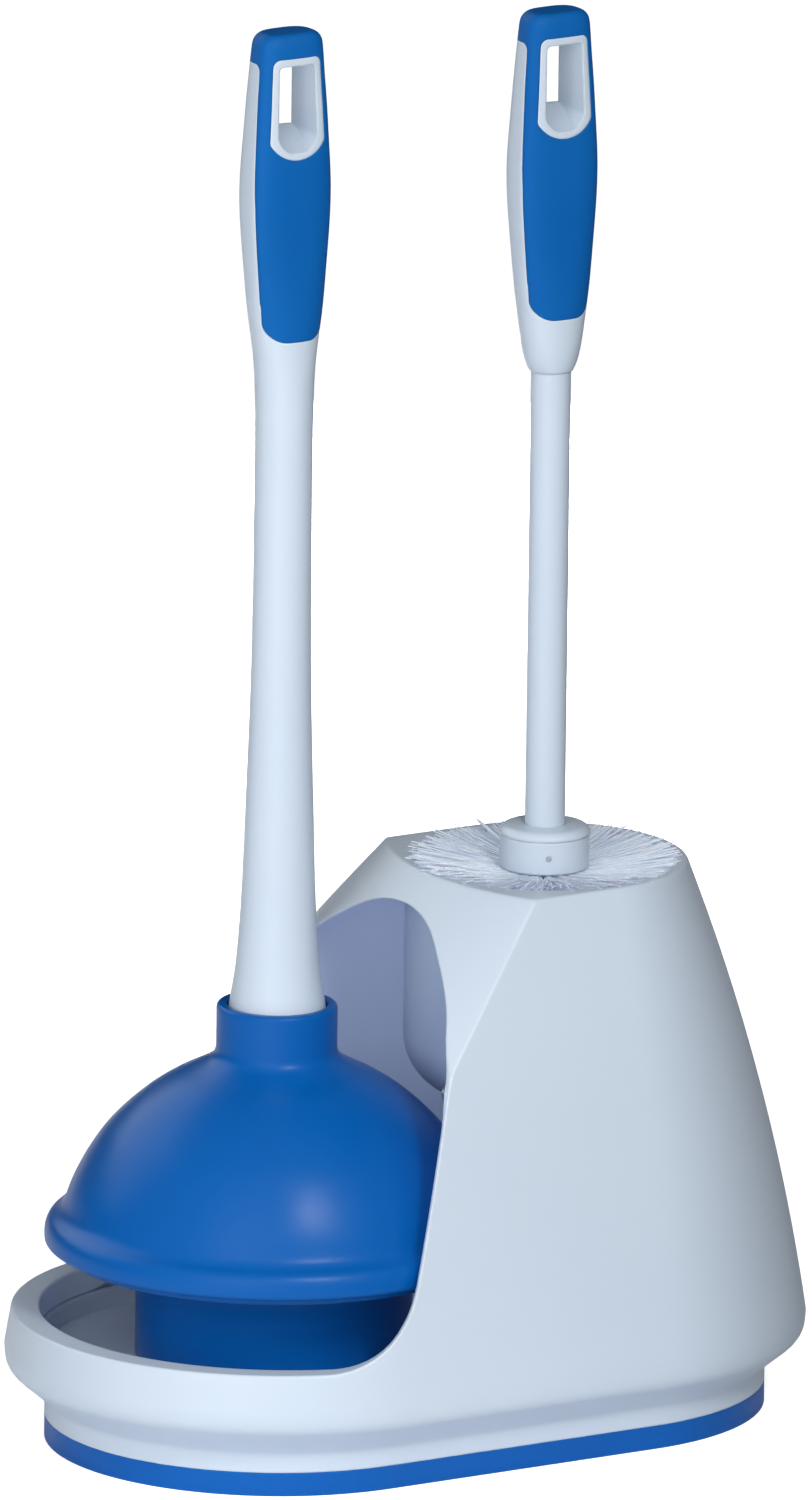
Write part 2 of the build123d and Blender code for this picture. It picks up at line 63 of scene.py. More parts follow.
SHELL_LOW, SHELL_HIGH = box_mm("caddy_shell")
CUP_LOW, CUP_HIGH = box_mm("plunger_cup")
FLANGE_LOW, FLANGE_HIGH = box_mm("plunger_flange")
PLATE_HIGH = box_mm("base_plate")[1]
SHAFT_LOW, SHAFT_HIGH = box_mm("brush_shaft")
FERRULE_LOW, FERRULE_HIGH = box_mm("brush_ferrule")
PIN_LOW, PIN_HIGH = box_mm("brush_ferrule_pin")
TUFT_HIGH = box_mm("brush_tufts")[1]

PLUNGER_X = (CUP_LOW.x + CUP_HIGH.x) / 2
BRUSH_X = (SHAFT_LOW.x + SHAFT_HIGH.x) / 2
PIN_HEIGHT = (PIN_LOW.z + PIN_HIGH.z) / 2
PIN_RADIUS = (PIN_HIGH.z - PIN_LOW.z) / 2
PIN_TURN = math.radians(-26.0)

# ---- caddy proportions, as in the CAD shell ----
FOOT_RADIUS = PLATE_HIGH.y
FOOT_BOTTOM = SHELL_LOW.z
FOOT_TOP = FOOT_BOTTOM + 6.5
SHOULDER = (88.0, 25.2)
WIDEST_HEIGHT = 31.0
HULL_LOW = (89.0, 30.0)
HULL_MID = (71.8, 111.0)
DECK_HEIGHT = SHELL_HIGH.z
DECK_THICKNESS = 3.0
HULL_HIGH = (47.3, DECK_HEIGHT)
WALL = 2.8
RIM_HEIGHT = 44.0
LEDGE_UNDERSIDE = 34.8
BAY_CENTRE_X = -48.5
BAY_RADIUS = 79.8
LIP = 2.9
LEG_BLEND = 14.0
LEG_X = -25.0
LEG_HEIGHT = 131.0
LEG_SLOPE = 3.0
LEG_INNER_Y = 40.0
LEG_CURVE = 36.0
LEG_CURVE_X = -80.1
NOSE_RADIUS = 93.0
NOSE_CENTRE_X = 72.2
NOSE_REF_HEIGHT = 160.7
NOSE_RAKE = 1.107
MOUTH_RADIUS = 44.0
ARCH = [(63.6, LEG_HEIGHT), (60.4, 137.5), (49.0, 152.0), (35.2, 163.4), (18.0, 173.0), (0.0, 176.2)]


# ---- mesh helpers ----
def new_piece(name, bm, body, material, smooth_angle=40.0):
    """Turn a bmesh in millimetres into a closed, shaded piece that rides on a body, if one is given."""
    bmesh.ops.scale(bm, vec=(MM, MM, MM), verts=bm.verts)
    bmesh.ops.remove_doubles(bm, verts=bm.verts, dist=2e-6)
    bmesh.ops.dissolve_degenerate(bm, edges=bm.edges, dist=1e-6)
    for edge in [e for e in bm.edges if e.is_wire]:
        bm.edges.remove(edge)
    bmesh.ops.recalc_face_normals(bm, faces=bm.faces)
    mesh = bpy.data.meshes.new(name)
    bm.to_mesh(mesh)
    bm.free()
    piece = bpy.data.objects.new(name, mesh)
    bpy.context.scene.collection.objects.link(piece)
    mesh.materials.append(material)
    shade(mesh, smooth_angle)
    if body:
        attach(piece, body)
    return piece


def shade(mesh, angle):
    """Smooth shading, with edges sharper than the angle kept sharp."""
    mesh.polygons.foreach_set("use_smooth", [True] * len(mesh.polygons))
    mesh.set_sharp_from_angle(angle=math.radians(angle))


def soften(points, steps=4):
    """Replace each (point, setback) by a short curve where the setback is above zero."""
    path = []
    last = len(points) - 1
    for index, (point, setback) in enumerate(points):
        if setback <= 0 or index in (0, last):
            path.append(point)
            continue
        before = points[index - 1][0] - point
        after = points[index + 1][0] - point
        start = point + before.normalized() * min(setback, 0.45 * before.length)
        end = point + after.normalized() * min(setback, 0.45 * after.length)
        for step in range(steps + 1):
            t = step / steps
            path.append(start * (1 - t) ** 2 + point * (2 * t * (1 - t)) + end * t ** 2)
    return path


def soften_loop(points, steps=4):
    """The same for a closed path."""
    wrapped = [points[-1]] + points + [points[0]]
    path = soften(wrapped, steps)
    return path[1:-1]


def grid(bm, columns, close_rows=False, close_columns=False):
    """Quads between neighbouring columns of points."""
    verts = [[bm.verts.new(point) for point in column] for column in columns]
    pairs = list(zip(verts, verts[1:]))
    if close_columns:
        pairs.append((verts[-1], verts[0]))
    for left, right in pairs:
        count = len(left)
        for row in range(count if close_rows else count - 1):
            after = (row + 1) % count
            bm.faces.new((left[row], right[row], right[after], left[after]))
    return verts


def lathe(name, outline, centre_x, body, material, segments=192, steps=5, smooth_angle=40.0):
    """Turn a closed outline of (radius, height, setback) about a tool axis."""
    loop = soften_loop([(Vector((r, 0, z)), setback) for r, z, setback in outline], steps)
    bm = bmesh.new()
    columns = []
    for index in range(segments):
        turn = 2 * math.pi * index / segments
        c, s = math.cos(turn), math.sin(turn)
        columns.append([Vector((centre_x + p.x * c, p.x * s, p.z)) for p in loop])
    grid(bm, columns, close_rows=True, close_columns=True)
    return new_piece(name, bm, body, material, smooth_angle)


def smoothstep(low, high, value):
    """0 below low, 1 above high, and an even S between them."""
    t = min(1.0, max(0.0, (value - low) / (high - low)))
    return t * t * (3 - 2 * t)


def mix(a, b, t):
    """Straight blend from a at 0 to b at 1."""
    return a * (1 - t) + b * t


# ---- materials ----
def node_tree(name):
    """New material, its node tree and its one principled shader."""
    material = bpy.data.materials.new(name)
    material.use_nodes = True
    tree = material.node_tree
    tree.nodes.clear()
    shader = tree.nodes.new("ShaderNodeBsdfPrincipled")
    out = tree.nodes.new("ShaderNodeOutputMaterial")
    tree.links.new(shader.outputs["BSDF"], out.inputs["Surface"])
    return material, tree, shader


def noise(tree, coords, scale, detail):
    """Noise value at the given coordinates."""
    texture = tree.nodes.new("ShaderNodeTexNoise")
    texture.inputs["Scale"].default_value = scale
    texture.inputs["Detail"].default_value = detail
    texture.inputs["Roughness"].default_value = 0.55
    tree.links.new(coords, texture.inputs["Vector"])
    return texture.outputs["Fac"]


def ramp(tree, source, low, high, to_low, to_high):
    """Map source from low...high to to_low...to_high, and hold it at the ends."""
    mapper = tree.nodes.new("ShaderNodeMapRange")
    mapper.inputs["From Min"].default_value = low
    mapper.inputs["From Max"].default_value = high
    mapper.inputs["To Min"].default_value = to_low
    mapper.inputs["To Max"].default_value = to_high
    tree.links.new(source, mapper.inputs["Value"])
    return mapper.outputs["Result"]


def blend_colour(tree, factor, first, second):
    """Colour between first and second. Each is a tuple or another node's output."""
    blender = tree.nodes.new("ShaderNodeMix")
    blender.data_type = "RGBA"
    tree.links.new(factor, blender.inputs["Factor"])
    for socket, value in (("A", first), ("B", second)):
        inputs = [i for i in blender.inputs if i.name == socket and i.type == "RGBA"]
        if isinstance(value, tuple):
            inputs[0].default_value = value + (1.0,)
        else:
            tree.links.new(value, inputs[0])
    return [o for o in blender.outputs if o.type == "RGBA"][0]


def maths(tree, operation, first, second):
    """One maths node. Each operand is a number or another node's output."""
    node = tree.nodes.new("ShaderNodeMath")
    node.operation = operation
    for socket, value in zip(node.inputs, (first, second)):
        if isinstance(value, (int, float)):
            socket.default_value = value
        else:
            tree.links.new(value, socket)
    return node.outputs["Value"]


def painted_glow_mask(tree, half_spacing):
    """Mask of the painted inner glow: 1 on faces that look at the caddy's middle plane or axis, 0 on its
    outside. Stronger higher up.
    """
    geometry = tree.nodes.new("ShaderNodeNewGeometry")
    split = tree.nodes.new("ShaderNodeSeparateXYZ")
    tree.links.new(geometry.outputs["Position"], split.inputs["Vector"])
    held = maths(tree, "MAXIMUM", maths(tree, "MINIMUM", split.outputs["X"], half_spacing), -half_spacing)
    away = tree.nodes.new("ShaderNodeCombineXYZ")
    tree.links.new(maths(tree, "SUBTRACT", split.outputs["X"], held), away.inputs["X"])
    tree.links.new(split.outputs["Y"], away.inputs["Y"])
    facing = tree.nodes.new("ShaderNodeVectorMath")
    facing.operation = "DOT_PRODUCT"
    tree.links.new(away.outputs["Vector"], facing.inputs[0])
    tree.links.new(geometry.outputs["Normal"], facing.inputs[1])
    inside = ramp(tree, facing.outputs["Value"], 0.0, -0.01, 0.0, 1.0)
    height = ramp(tree, split.outputs["Z"], 0.045, 0.11, 0.12, 1.0)
    below_deck = ramp(tree, split.outputs["Z"], 0.1815, 0.1805, 0.0, 1.0)
    return maths(tree, "MULTIPLY", maths(tree, "MULTIPLY", inside, height), below_deck)


def moulded(name, colour, dark, rough, rough_spread, grain, grain_scale, edge, specular=0.5, glow=0.0):
    """Moulded plastic or rubber: tone drift, moulding grain, uneven gloss and a painted highlight along
    the edges.

    glow is painted light: an emission on the hood's inner faces that stands in for daylight coming through
    the thin wall to its inner side."""
    material, tree, shader = node_tree(name)
    coords = tree.nodes.new("ShaderNodeTexCoord").outputs["Object"]
    drift = ramp(tree, noise(tree, coords, 9.0, 3.0), 0.3, 0.7, 0.0, 1.0)
    tone = blend_colour(tree, drift, colour, dark)
    # painted highlight along the edges: a lighter colour where the rounded normal leaves the true one,
    # broken up by noise
    bevel = tree.nodes.new("ShaderNodeBevel")
    bevel.samples = 4
    bevel.inputs["Radius"].default_value = 0.0011
    geometry = tree.nodes.new("ShaderNodeNewGeometry")
    compare = tree.nodes.new("ShaderNodeVectorMath")
    compare.operation = "DOT_PRODUCT"
    tree.links.new(bevel.outputs["Normal"], compare.inputs[0])
    tree.links.new(geometry.outputs["Normal"], compare.inputs[1])
    edge_highlight = ramp(tree, compare.outputs["Value"], 0.995, 0.88, 0.0, 0.9)
    patch = ramp(tree, noise(tree, coords, 160.0, 3.0), 0.45, 0.62, 0.45, 1.0)
    tone_with_edge_highlight = blend_colour(tree, maths(tree, "MULTIPLY", edge_highlight, patch), tone, edge)
    tree.links.new(tone_with_edge_highlight, shader.inputs["Base Color"])
    # uneven gloss
    smear = noise(tree, coords, 38.0, 2.0)
    gloss = ramp(tree, smear, 0.3, 0.7, rough - rough_spread, rough + rough_spread)
    tree.links.new(gloss, shader.inputs["Roughness"])
    # fine moulding grain over a faint surface swell
    fine = noise(tree, coords, grain_scale, 2.0)
    swell = noise(tree, coords, 55.0, 1.0)
    bump_fine = tree.nodes.new("ShaderNodeBump")
    bump_fine.inputs["Strength"].default_value = grain
    bump_fine.inputs["Distance"].default_value = 0.00012
    tree.links.new(fine, bump_fine.inputs["Height"])
    tree.links.new(bevel.outputs["Normal"], bump_fine.inputs["Normal"])
    bump_swell = tree.nodes.new("ShaderNodeBump")
    bump_swell.inputs["Strength"].default_value = 0.06
    bump_swell.inputs["Distance"].default_value = 0.0006
    tree.links.new(swell, bump_swell.inputs["Height"])
    tree.links.new(bump_fine.outputs["Normal"], bump_swell.inputs["Normal"])
    tree.links.new(bump_swell.outputs["Normal"], shader.inputs["Normal"])
    shader.inputs["Specular IOR Level"].default_value = specular
    if glow:
        # painted light: a bluish emission on the inner faces makes the inside of the hood brighter
        shader.inputs["Emission Color"].default_value = (0.50, 0.61, 0.95, 1.0)
        painted_glow = maths(tree, "MULTIPLY", painted_glow_mask(tree, BRUSH_X * MM), glow)
        tree.links.new(painted_glow, shader.inputs["Emission Strength"])
    return material


def make_materials():
    """One procedural material per slot, keyed by its name."""
    white = (0.555, 0.635, 0.725)
    white_shade = (0.535, 0.617, 0.71)
    # the edge colours here are painted highlights along the rounded edges
    white_edge_highlight = (0.80, 0.86, 0.92)
    return {
        "white_plastic": moulded(
            "white_plastic", white, white_shade, rough=0.33, rough_spread=0.04,
            grain=0.08, grain_scale=2600.0, edge=white_edge_highlight, specular=0.45),
        # the hull's white plastic, with painted light glowing on its inner faces
        "hull_plastic_painted_glow": moulded(
            "hull_plastic_painted_glow", white, white_shade, rough=0.33, rough_spread=0.04,
            grain=0.08, grain_scale=2600.0, edge=white_edge_highlight, specular=0.45, glow=0.21),
        # white plastic painted darker and bluer: painted shade for the brush well inside the hood
        "white_plastic_painted_shade": moulded(
            "white_plastic_painted_shade", (0.36, 0.45, 0.62), (0.33, 0.42, 0.59), rough=0.36, rough_spread=0.08,
            grain=0.14, grain_scale=2200.0, edge=(0.5, 0.58, 0.72)),
        "blue_plastic": moulded(
            "blue_plastic", (0.001, 0.105, 0.42), (0.0, 0.09, 0.37), rough=0.36, rough_spread=0.08,
            grain=0.12, grain_scale=2400.0, edge=(0.02, 0.19, 0.55), specular=0.2),
        "blue_grip": moulded(
            "blue_grip", (0.002, 0.115, 0.40), (0.0, 0.10, 0.36), rough=0.56, rough_spread=0.08,
            grain=0.30, grain_scale=3400.0, edge=(0.01, 0.16, 0.5), specular=0.15),
        "blue_rubber": moulded(
            "blue_rubber", (0.0, 0.10, 0.385), (0.0, 0.088, 0.35), rough=0.32, rough_spread=0.035,
            grain=0.22, grain_scale=1900.0, edge=(0.01, 0.16, 0.5), specular=0.22),
        "dark_rubber": moulded(
            "dark_rubber", (0.05, 0.05, 0.055), (0.035, 0.035, 0.04), rough=0.7, rough_spread=0.08,
            grain=0.4, grain_scale=2000.0, edge=(0.12, 0.12, 0.12)),
        "steel": moulded(
            "steel", (0.42, 0.43, 0.45), (0.30, 0.31, 0.33), rough=0.38, rough_spread=0.08,
            grain=0.1, grain_scale=2600.0, edge=(0.6, 0.6, 0.62)),
        "bristle": bristle_material(),
    }


def bristle_material():
    """Clear nylon filament: milky, a little see-through, shiny along its length."""
    material, tree, shader = node_tree("bristle")
    coords = tree.nodes.new("ShaderNodeTexCoord").outputs["Object"]
    streak = ramp(tree, noise(tree, coords, 420.0, 2.0), 0.3, 0.7, 0.0, 1.0)
    tone = blend_colour(tree, streak, (0.97, 0.98, 1.0), (0.80, 0.85, 0.92))
    tree.links.new(tone, shader.inputs["Base Color"])
    gloss = ramp(tree, noise(tree, coords, 900.0, 1.0), 0.3, 0.7, 0.3, 0.42)
    tree.links.new(gloss, shader.inputs["Roughness"])
    bump = tree.nodes.new("ShaderNodeBump")
    bump.inputs["Strength"].default_value = 0.15
    bump.inputs["Distance"].default_value = 0.00005
    tree.links.new(noise(tree, coords, 5000.0, 1.0), bump.inputs["Height"])
    tree.links.new(bump.outputs["Normal"], shader.inputs["Normal"])
    # painted light: a faint bluish emission brightens the whole brush head, standing in for light
    # scattered in the nylon
    shader.inputs["Emission Color"].default_value = (0.55, 0.66, 0.95, 1.0)
    shader.inputs["Emission Strength"].default_value = 0.055
    shader.inputs["Transmission Weight"].default_value = 0.25
    shader.inputs["Subsurface Weight"].default_value = 0.2
    shader.inputs["Subsurface Scale"].default_value = 0.002
    return material


materials = make_materials()


# ---- caddy shell ----
def arc_through(low, middle, high):
    """Centre and radius of the circle through three (radius, height) points."""
    (ax, ay), (bx, by), (cx, cy) = low, middle, high
    d = 2 * (ax * (by - cy) + bx * (cy - ay) + cx * (ay - by))
    a2, b2, c2 = ax * ax + ay * ay, bx * bx + by * by, cx * cx + cy * cy
    ux = (a2 * (by - cy) + b2 * (cy - ay) + c2 * (ay - by)) / d
    uy = (a2 * (cx - bx) + b2 * (ax - cx) + c2 * (bx - ax)) / d
    return ux, uy, math.hypot(ax - ux, ay - uy)


HULL_ARC = arc_through(HULL_LOW, HULL_MID, HULL_HIGH)


def hull_width(height):
    """Half width of the hull, above the shoulder."""
    x, y, radius = HULL_ARC
    return x + math.sqrt(radius * radius - (height - y) ** 2)


def nose_x(y, height, inset=0.0):
    """Front face of the hood: a raked cylinder."""
    centre = NOSE_CENTRE_X + NOSE_RAKE * (height - NOSE_REF_HEIGHT)
    radius = NOSE_RADIUS - inset
    return centre - math.sqrt(max(0.0, radius * radius - y * y))


def face_x(y, height):
    """The same front face, held back where it would stand out past the line of the leg."""
    face = nose_x(y, height)
    leg = LEG_X + (height - LEG_HEIGHT) / LEG_SLOPE
    beside_leg = height > LEG_HEIGHT and abs(y) > LEG_INNER_Y
    return max(face, leg) if beside_leg else face


def crease_height(x):
    """Height at which the front face meets the side of the hull."""
    low, high = 100.0, DECK_HEIGHT + 5
    for _ in range(40):
        middle = (low + high) / 2
        if nose_x(hull_width(middle), middle) < x:
            low = middle
        else:
            high = middle
    return low


def edge_height(x):
    """Top edge of the hull along one side: rim, swept leg, then crease."""
    if x <= LEG_CURVE_X:
        return RIM_HEIGHT
    curve_end = LEG_CURVE_X + LEG_CURVE * LEG_SLOPE / math.hypot(1, LEG_SLOPE)
    if x < curve_end:
        return RIM_HEIGHT + LEG_CURVE - math.sqrt(LEG_CURVE ** 2 - (x - LEG_CURVE_X) ** 2)
    leg = LEG_HEIGHT + (x - LEG_X) * LEG_SLOPE
    if x < LEG_X - LEG_BLEND:
        return leg
    crease = crease_height(x)
    soft = 1.5
    top = min(leg, crease)
    return top - soft * math.log(math.exp((top - leg) / soft) + math.exp((top - crease) / soft))


def arch_table():
    """Half of the arch as a dense curve, with its running length."""
    keys = [0.0]
    for (y0, z0), (y1, z1) in zip(ARCH, ARCH[1:]):
        keys.append(keys[-1] + math.hypot(y1 - y0, z1 - z0))
    ys = [p[0] for p in ARCH]
    zs = [p[1] for p in ARCH]
    return keys, ys, zs


ARCH_KEYS, ARCH_Y, ARCH_Z = arch_table()


def spline_value(keys, values, at, start_slope, end_slope):
    """Smooth value between stations, with the slopes at both ends given."""
    k = min(len(keys) - 2, max(i for i in range(len(keys)) if keys[i] <= at + 1e-9))

    def slope(i):
        if i == 0:
            return start_slope
        if i == len(keys) - 1:
            return end_slope
        return (values[i + 1] - values[i - 1]) / (keys[i + 1] - keys[i - 1])

    span = keys[k + 1] - keys[k]
    t = (at - keys[k]) / span
    h00 = (1 + 2 * t) * (1 - t) ** 2
    h10 = t * (1 - t) ** 2
    h01 = t * t * (3 - 2 * t)
    h11 = t * t * (t - 1)
    return h00 * values[k] + h10 * span * slope(k) + h01 * values[k + 1] + h11 * span * slope(k + 1)


def arch_point(share):
    """Point of the arch's front edge, 0 at the leg and 1 at the crown. Near side, so Y is negative."""
    at = share * ARCH_KEYS[-1]
    y = spline_value(ARCH_KEYS, ARCH_Y, at, -0.3, -1.0)
    z = spline_value(ARCH_KEYS, ARCH_Z, at, 0.95, 0.0)
    return Vector((face_x(y, z), -y, z))


CORNER_X = nose_x(HULL_HIGH[0], DECK_HEIGHT)
CORNER_SHARE = 0.56
INNER_DECK = DECK_HEIGHT - DECK_THICKNESS
INNER_DECK_WIDTH = hull_width(INNER_DECK) - WALL
INNER_CORNER = Vector((nose_x(INNER_DECK_WIDTH, INNER_DECK, WALL), -INNER_DECK_WIDTH, INNER_DECK))
HULL_ROWS = 26
SKIN_DROP = 3.0
EDGE_SETBACK = 2.6


def outer_column(place, top):
    """Points up the outside. place(radius) gives the plan point of the column at that radius."""
    def at(radius, height):
        plan = place(radius)
        return Vector((plan.x, plan.y, height))

    rows = [
        (at(FOOT_RADIUS, FOOT_BOTTOM), 0.0),
        (at(FOOT_RADIUS, FOOT_BOTTOM + 1.5), 0.0),
        (at(FOOT_RADIUS, FOOT_TOP), 1.4),
        (at(SHOULDER[0] - 5, SHOULDER[1] - 4.3), 0.0),
        (at(SHOULDER[0] + 0.3, SHOULDER[1]), 4.0),
    ]
    last = top - EDGE_SETBACK
    for row in range(HULL_ROWS):
        height = WIDEST_HEIGHT + (last - WIDEST_HEIGHT) * row / (HULL_ROWS - 1)
        rows.append((at(hull_width(height), height), 0.0))
    return rows


def inner_column(start, place):
    """Points down the inside, from start to the foot. The plan slides back to the column's own place."""
    rows = []
    low = WIDEST_HEIGHT
    for row in range(1, HULL_ROWS):
        share = row / (HULL_ROWS - 1)
        height = start.z + (low - start.z) * share
        plan = place(hull_width(height) - WALL)
        own = place(hull_width(start.z) - WALL)
        slide = (start.x - own.x) * (1 - share)
        rows.append((Vector((plan.x + slide, plan.y, height)), 0.0))
    for radius, height, setback in (
        (SHOULDER[0] - WALL, SHOULDER[1] + 1.6, 2.0),
        (FOOT_RADIUS - WALL, FOOT_TOP + 1.2, 1.0),
        (FOOT_RADIUS - WALL, FOOT_BOTTOM, 0.0),
    ):
        plan = place(radius)
        rows.append((Vector((plan.x, plan.y, height)), setback))
    return rows


def end_place(centre_x, angle):
    """Plan of a column on a round end. The angle runs from the far tip towards the near side."""
    side = -1 if centre_x < 0 else 1

    def place(radius):
        return Vector((centre_x + side * radius * math.cos(angle), -radius * math.sin(angle), 0))
    return place


def side_place(x):
    """Plan of a column on the straight near side."""
    def place(radius):
        return Vector((x, -radius, 0))
    return place


BAND_ROWS = 6


def band(outer, inner):
    """Points of the front face between the outer edge and the opening's edge, both included."""
    outer_offset = outer.x - face_x(outer.y, outer.z)
    inner_offset = inner.x - face_x(inner.y, inner.z)
    points = []
    for row in range(BAND_ROWS + 1):
        t = row / BAND_ROWS
        y = mix(outer.y, inner.y, t)
        z = mix(outer.z, inner.z, t)
        x = face_x(y, z) + mix(outer_offset, inner_offset, t)
        points.append(Vector((x, y, z)))
    return points


def front_column(place, x_of_top):
    """One full path: up the outside, over the edge, across the front face and down the inside."""
    top = edge_height(x_of_top)
    width = hull_width(top)
    plan = place(width)
    outer = Vector((plan.x, plan.y, top))
    bay_share = 1 - smoothstep(LEG_CURVE_X - 2, LEG_CURVE_X + 30, outer.x)
    turn_in = smoothstep(LEG_HEIGHT - LEG_BLEND, LEG_HEIGHT + 2, top)
    if top > LEG_HEIGHT:
        inner = arch_point(CORNER_SHARE * (top - LEG_HEIGHT) / (DECK_HEIGHT - LEG_HEIGHT))
    else:
        lip_plan = place(width - LIP)
        inner = Vector((lip_plan.x + mix(1.2, 0.0, turn_in), lip_plan.y, top))
    bay_angle = math.atan2(-outer.y, -(outer.x - PLUNGER_X))
    bay = Vector((
        BAY_CENTRE_X - BAY_RADIUS * math.cos(bay_angle), -BAY_RADIUS * math.sin(bay_angle), top,
    ))
    inner = mix(inner, bay, bay_share)
    back = inner + Vector((WALL, 0, 0))
    skin_height = top - SKIN_DROP
    skin_width = hull_width(skin_height) - WALL
    if top > LEG_HEIGHT:
        skin = Vector((nose_x(skin_width, skin_height, WALL), -skin_width, skin_height))
    else:
        skin_plan = place(skin_width)
        skin = Vector((skin_plan.x + mix(5.0, 3.0, turn_in), skin_plan.y, skin_height))
    ledge_plan = place(hull_width(LEDGE_UNDERSIDE) - WALL)
    ledge_skin = Vector((ledge_plan.x, ledge_plan.y, LEDGE_UNDERSIDE))
    back = mix(back, Vector((bay.x, bay.y, LEDGE_UNDERSIDE)), bay_share)
    skin = mix(skin, ledge_skin, bay_share)
    edge = mix(1.1, 2.4, bay_share)
    face = band(outer, inner)
    path = outer_column(place, top)
    path.append((outer, edge))
    path += [(point, 0.0) for point in face[1:-1]]
    path.append((inner, mix(0.9, 1.9, bay_share)))
    path.append((back, 0.7))
    path.append((skin, 0.0))
    path += inner_column(skin, place)
    return soften(path)


def rear_column(place, x_of_top, mouth_angle):
    """Up the outside, across the deck to the mouth, and down the inside."""
    plan = place(HULL_HIGH[0])
    outer = Vector((plan.x, plan.y, DECK_HEIGHT))
    ring = Vector((MOUTH_RADIUS * math.cos(mouth_angle), MOUTH_RADIUS * math.sin(mouth_angle), 0))
    mouth = Vector((BRUSH_X, 0, DECK_HEIGHT)) + ring
    under = Vector((mouth.x, mouth.y, INNER_DECK))
    inner_plan = place(INNER_DECK_WIDTH)
    fade = max(0.0, 1 - (x_of_top - CORNER_X) / (BRUSH_X - CORNER_X))
    shift = (INNER_CORNER.x - CORNER_X) * fade
    joint = Vector((inner_plan.x + shift, inner_plan.y, INNER_DECK))
    path = outer_column(place, DECK_HEIGHT)
    path.append((outer, 1.1))
    path.append((mouth, 0.8))
    path.append((under, 0.0))
    path.append((joint, 0.0))
    path += inner_column(joint, place)
    return soften(path)


def nose_column(share, mouth_angle):
    """Closed path round the strip between the mouth and the arch.

    share is 0 at the corner and 1 at the middle."""
    y = HULL_HIGH[0] * (1 - share)
    edge = Vector((nose_x(y, DECK_HEIGHT), -y, DECK_HEIGHT))
    inner = arch_point(CORNER_SHARE + (1 - CORNER_SHARE) * share)
    back = inner + Vector((WALL, 0, 0))
    y_inner = INNER_DECK_WIDTH * (1 - share)
    joint = Vector((nose_x(y_inner, INNER_DECK, WALL), -y_inner, INNER_DECK))
    ring = Vector((MOUTH_RADIUS * math.cos(mouth_angle), MOUTH_RADIUS * math.sin(mouth_angle), 0))
    mouth = Vector((BRUSH_X, 0, DECK_HEIGHT)) + ring
    under = Vector((mouth.x, mouth.y, INNER_DECK))
    face = band(edge, inner)
    path = [(under, 0.0), (mouth, 0.8), (edge, 1.1)]
    path += [(point, 0.0) for point in face[1:-1]]
    path += [(inner, 0.9), (back, 0.7), (joint, 0.0), (under, 0.0)]
    return soften(path)


def make_caddy_shell():
    """The near half of the shell column by column, then its mirror image."""
    weld = 0.004
    middle_reach = 0.02
    arc_columns = 44
    leg_columns = 60
    deck_columns = 18
    tip_columns = 34
    nose_columns = 26
    front = []
    for index in range(arc_columns):
        angle = math.pi / 2 * index / arc_columns
        place = end_place(PLUNGER_X, angle)
        x_top = PLUNGER_X - hull_width(RIM_HEIGHT) * math.cos(angle)
        # the edge's height and its place in plan depend on each other, so a few rounds settle them
        for _ in range(6):
            top = edge_height(x_top)
            x_top = PLUNGER_X - hull_width(top) * math.cos(angle)
        front.append(front_column(place, x_top))
    for index in range(leg_columns + 1):
        x = PLUNGER_X + (CORNER_X - PLUNGER_X) * index / leg_columns
        front.append(front_column(side_place(x), x))
    corner_angle = math.atan2(-HULL_HIGH[0], CORNER_X - BRUSH_X)
    rear = []
    for index in range(deck_columns + 1):
        share = index / deck_columns
        x = CORNER_X + (BRUSH_X - CORNER_X) * share
        rear.append(rear_column(side_place(x), x, mix(corner_angle, -math.pi / 2, share)))
    for index in range(1, tip_columns + 1):
        angle = math.pi / 2 * (1 - index / tip_columns)
        rear.append(rear_column(end_place(BRUSH_X, angle), BRUSH_X, -angle))
    nose = []
    for index in range(nose_columns + 1):
        share = index / nose_columns
        nose.append(nose_column(share, mix(corner_angle, -math.pi, share)))
    bm = bmesh.new()
    grid(bm, front, close_rows=True)
    grid(bm, rear, close_rows=True)
    grid(bm, nose)
    bmesh.ops.remove_doubles(bm, verts=bm.verts, dist=weld)
    # close the small three-way corner, then mirror the near half to the far side
    open_edges = [e for e in bm.edges if e.is_boundary and off_middle(e)]
    bmesh.ops.holes_fill(bm, edges=open_edges, sides=40)
    middle = [v for v in bm.verts if abs(v.co.y) < middle_reach]
    for vert in middle:
        vert.co.y = 0.0
    twin = bmesh.ops.duplicate(bm, geom=bm.verts[:] + bm.edges[:] + bm.faces[:])["geom"]
    for item in twin:
        if isinstance(item, bmesh.types.BMVert):
            item.co.y = -item.co.y
    return new_piece("caddy_hull", bm, "caddy", materials["hull_plastic_painted_glow"], 38.0)


def off_middle(edge):
    """True for an edge that isn't on the caddy's middle plane."""
    tolerance = 0.05
    return any(abs(v.co.y) > tolerance for v in edge.verts)


hull = make_caddy_shell()
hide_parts("caddy_shell")


